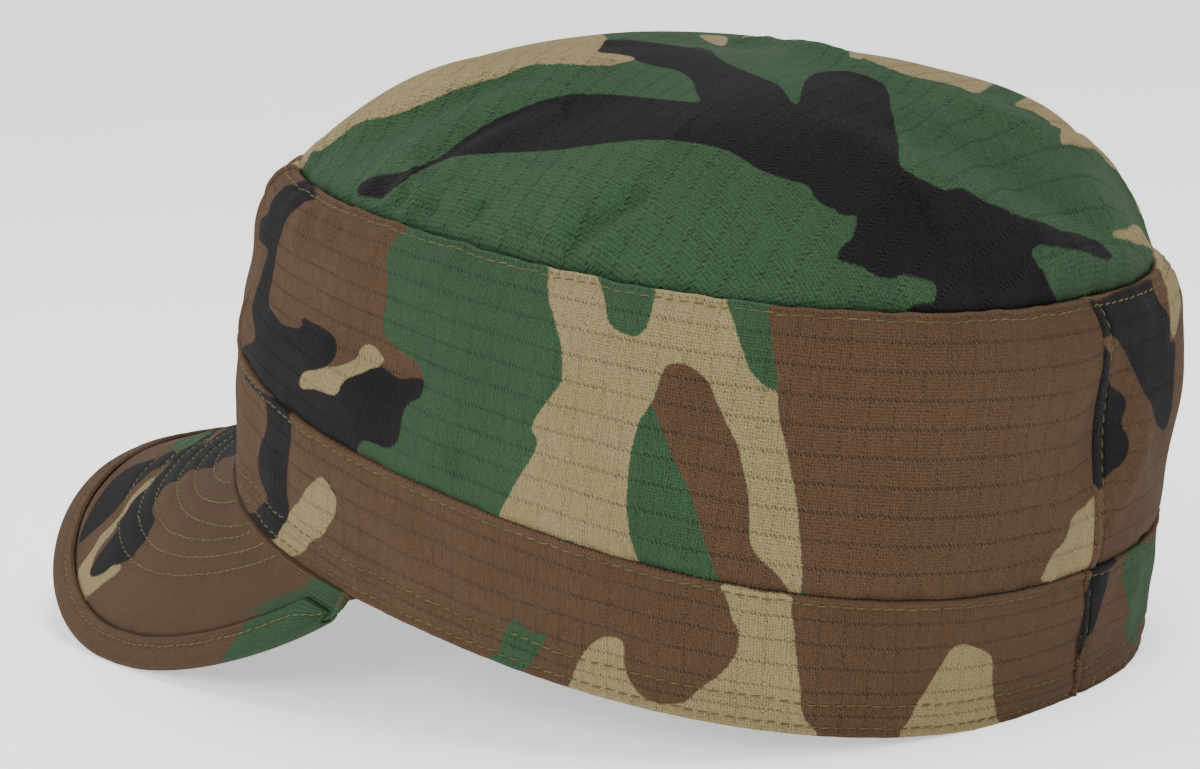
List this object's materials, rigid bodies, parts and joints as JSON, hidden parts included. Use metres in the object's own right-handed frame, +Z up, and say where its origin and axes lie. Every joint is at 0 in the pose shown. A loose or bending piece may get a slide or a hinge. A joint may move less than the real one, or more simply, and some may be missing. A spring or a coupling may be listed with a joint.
{
  "type": "patrol cap",
  "caption": "Soft cloth cap with an oval domed top, sewn side panels, a stitched band and a short curved visor with a bound edge.",
  "frame": {"origin": "middle of the cap's footprint, on the surface that it rests on", "axes": "+Z up, the visor towards -Y, the wearer's left towards +X; the cap stands tipped back by about 13 degrees on the back of its rim and the two low sides of its visor"},
  "size_m": [0.176, 0.2726, 0.1315],
  "materials": {
    "crown_cloth": "woodland pattern ripstop cotton blend, matt, with a raised thread grid",
    "band_cloth": "the same ripstop in double thickness, topstitched",
    "visor_cloth": "the same ripstop over a board, stitched in rows, with a folded binding"
  },
  "bodies": {
    "root": {"crown_top": "crown_cloth", "crown_front": "crown_cloth", "crown_left": "crown_cloth", "crown_right": "crown_cloth", "band": "band_cloth", "visor": "visor_cloth", "visor_binding": "visor_cloth"}
  },
  "joints": []
}
